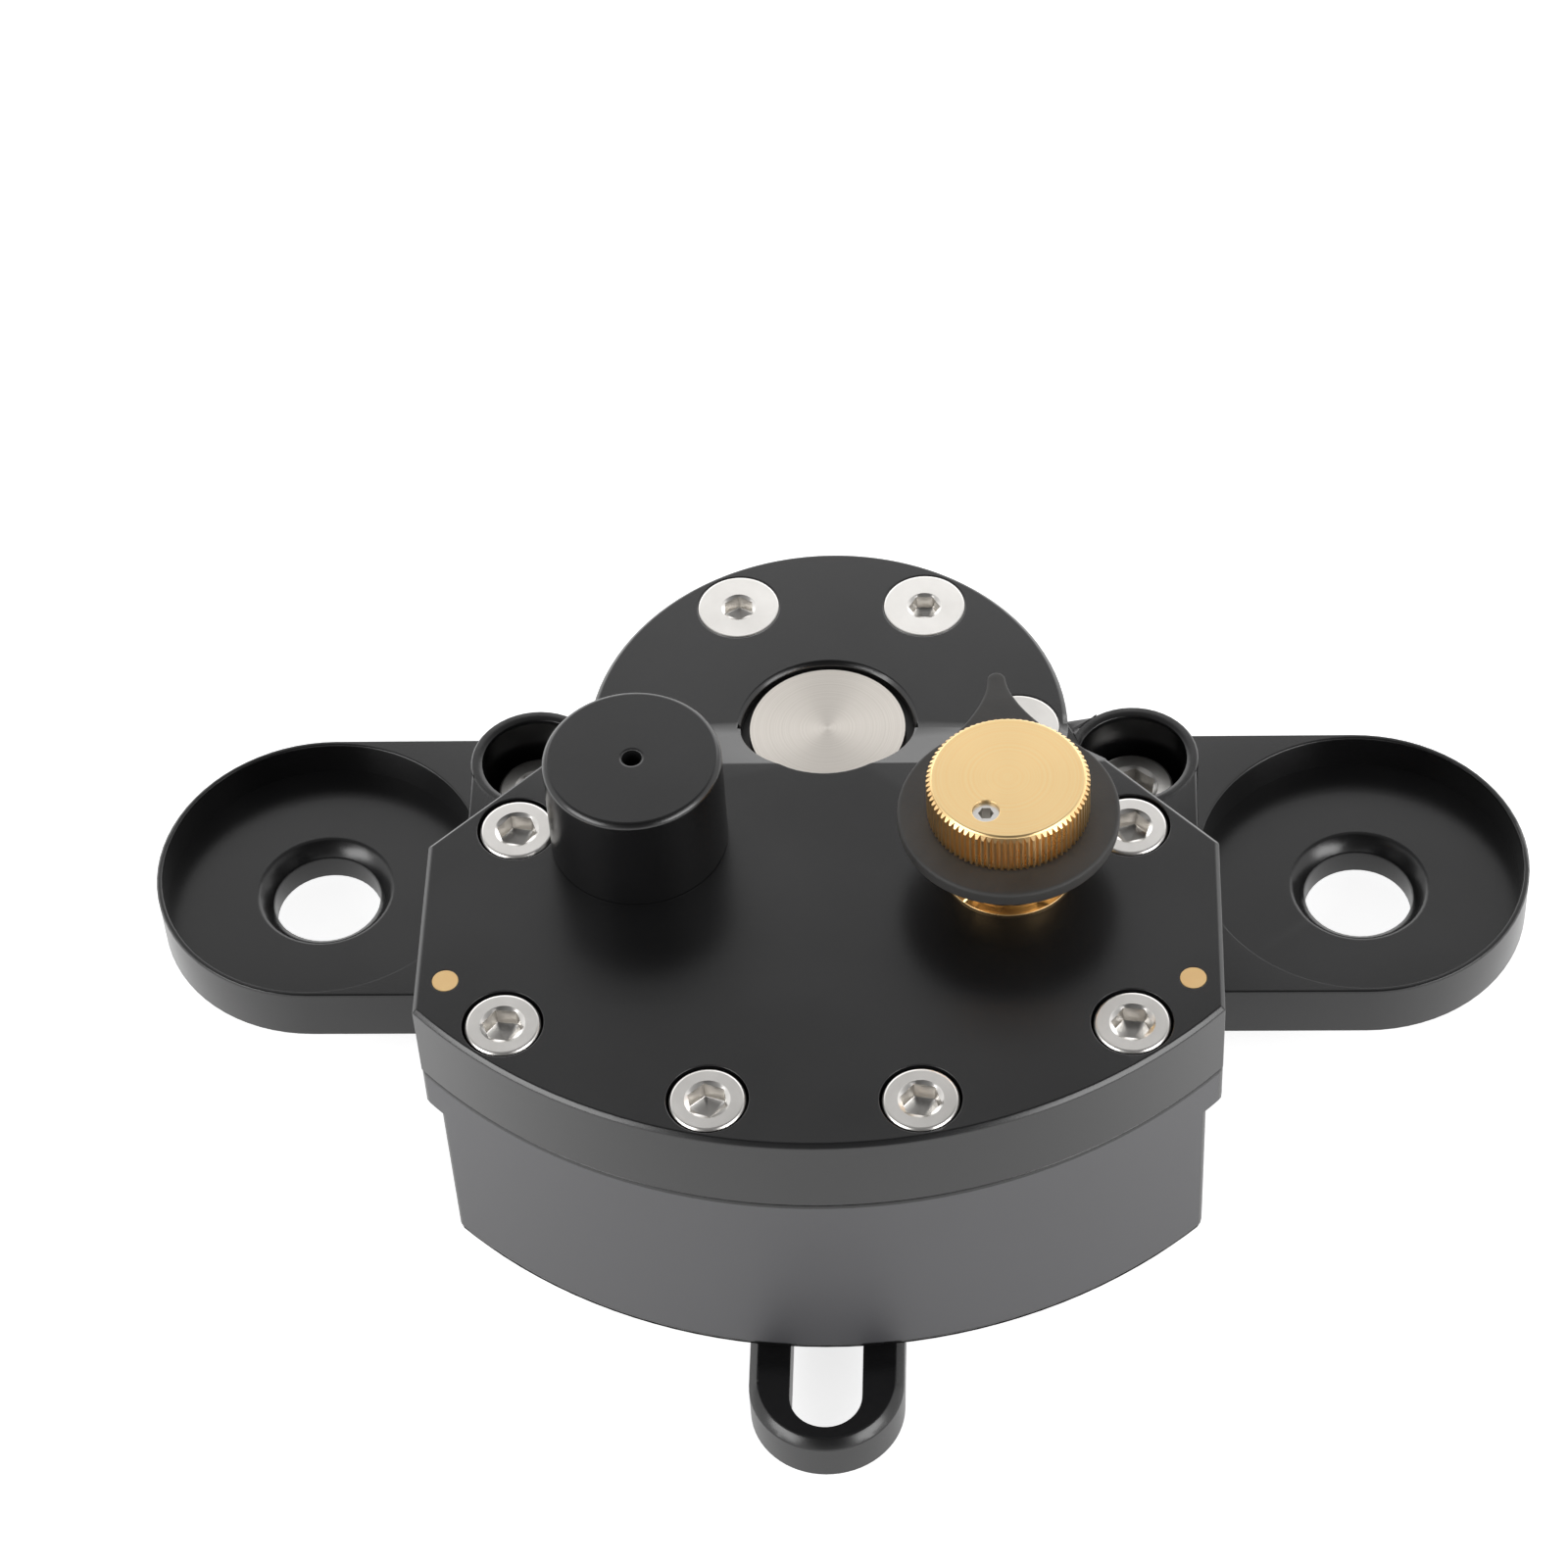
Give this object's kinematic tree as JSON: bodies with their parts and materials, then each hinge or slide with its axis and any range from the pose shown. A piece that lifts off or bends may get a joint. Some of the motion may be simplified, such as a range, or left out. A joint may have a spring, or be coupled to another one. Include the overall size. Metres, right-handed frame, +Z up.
{
  "type": "motorcycle steering damper",
  "caption": "Rotary steering damper: flanged vane housing on a bracket with two dished wings for handlebar risers, slotted link arm, compensator cap and knurled brass adjuster.",
  "frame": {"origin": "midway between the two riser bores, on the seating face under the wings", "axes": "+Z up along the riser bores and the damper's shaft, +X across the wings, +Y away from the rider"},
  "size_m": [0.1668, 0.1045, 0.0646],
  "materials": {
    "black_anodise": "satin black anodised",
    "stainless_screw": "bright stainless",
    "turned_steel": "turned",
    "brass": "satin brass",
    "bronze": "machined bronze",
    "seal_rubber": "matt"
  },
  "bodies": {
    "damper_body": {"bracket": "black_anodise", "bracket_screws": "stainless_screw", "housing": "black_anodise", "top_cover": "black_anodise", "cover_screws": "stainless_screw", "mounting_screws": "stainless_screw", "dowel_pins": "brass", "cover_seal": "seal_rubber", "upper_bush": "bronze", "lower_bush": "bronze", "upper_shaft_seal": "seal_rubber", "lower_shaft_seal": "seal_rubber", "compensator_cap": "black_anodise", "compensator_spring": "turned_steel", "adjuster_base": "brass", "base_seal": "seal_rubber", "needle_seal": "seal_rubber"},
    "swing_arm": {"shaft": "turned_steel", "vane": "bronze", "vane_key": "turned_steel", "vane_seal": "seal_rubber", "link_arm": "black_anodise", "arm_clamp_screw": "stainless_screw", "retaining_ring": "turned_steel"},
    "adjuster": {"adjuster_knob": "brass", "pointer_ring": "black_anodise", "knob_set_screw": "stainless_screw"},
    "needle": {"needle_valve": "turned_steel"},
    "compensator": {"compensator_piston": "bronze", "piston_seal": "seal_rubber"}
  },
  "joints": [
    {"name": "arm_swing", "type": "hinge", "parent": "damper_body", "child": "swing_arm", "pos_m": [0, -0.0054, 0.0318], "axis": [0, 0, 1], "range_deg": [-40, 40]},
    {"name": "knob_turn", "type": "hinge", "parent": "damper_body", "child": "adjuster", "pos_m": [0.021, -0.029, 0.0426], "axis": [0, 0, 1], "range_deg": [-135, 135]},
    {"name": "needle_slide", "type": "slide", "parent": "damper_body", "child": "needle", "axis": [0, 0, 1], "range_m": [-0.0004, 0.0004]},
    {"name": "piston_slide", "type": "slide", "parent": "damper_body", "child": "compensator", "axis": [0, 0, 1], "range_m": [0, 0.002], "stiffness_N_per_m": 400, "springref_m": -0.002, "deforming": ["compensator_spring"]}
  ],
  "couplings": [
    {"joint": "needle_slide", "follows": "knob_turn", "m_per_rad": 0.00015915}
  ]
}
